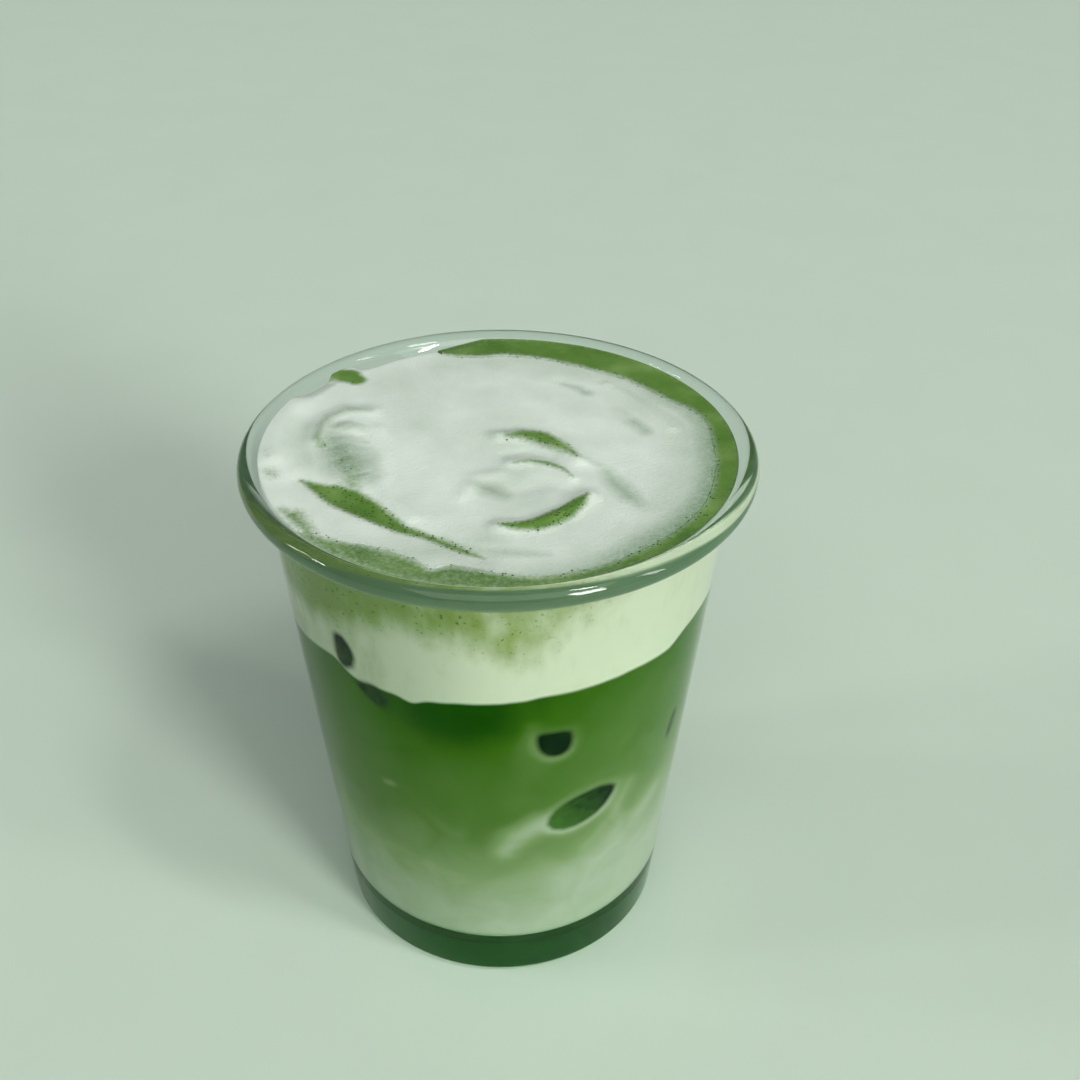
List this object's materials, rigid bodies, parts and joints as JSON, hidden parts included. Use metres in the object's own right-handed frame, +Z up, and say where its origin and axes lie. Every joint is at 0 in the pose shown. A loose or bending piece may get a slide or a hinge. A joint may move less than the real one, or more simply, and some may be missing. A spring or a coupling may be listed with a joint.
{
  "type": "iced matcha latte in a glass tumbler",
  "caption": "Iced matcha latte in a tapered clear glass with a flared lip: pale milk below, green tea above it, cream foam with green froth swirls on top.",
  "frame": {"origin": "centre of the flat underside of the glass's foot, on the table", "axes": "+Z up along the glass's axis, -Y to the front as the picture shows it, +X to the picture's right"},
  "size_m": [0.0904, 0.0904, 0.1015],
  "materials": {
    "clear_glass": "clear pressed soda-lime glass with a faint green cast, fire-polished lip",
    "milk": "opaque pale green-white milk, wet behind glass",
    "matcha_tea": "opaque bright green tea with milk clouding it, wet behind glass",
    "cream": "soft white whipped milk foam, satin, with fine bubbles",
    "matcha_froth": "green tea froth with fine dark bubble pits"
  },
  "bodies": {
    "root": {"glass_tumbler": "clear_glass", "milk_layer": "milk", "matcha_layer": "matcha_tea", "cream_foam": "cream", "matcha_froth_band": "matcha_froth"}
  },
  "joints": []
}
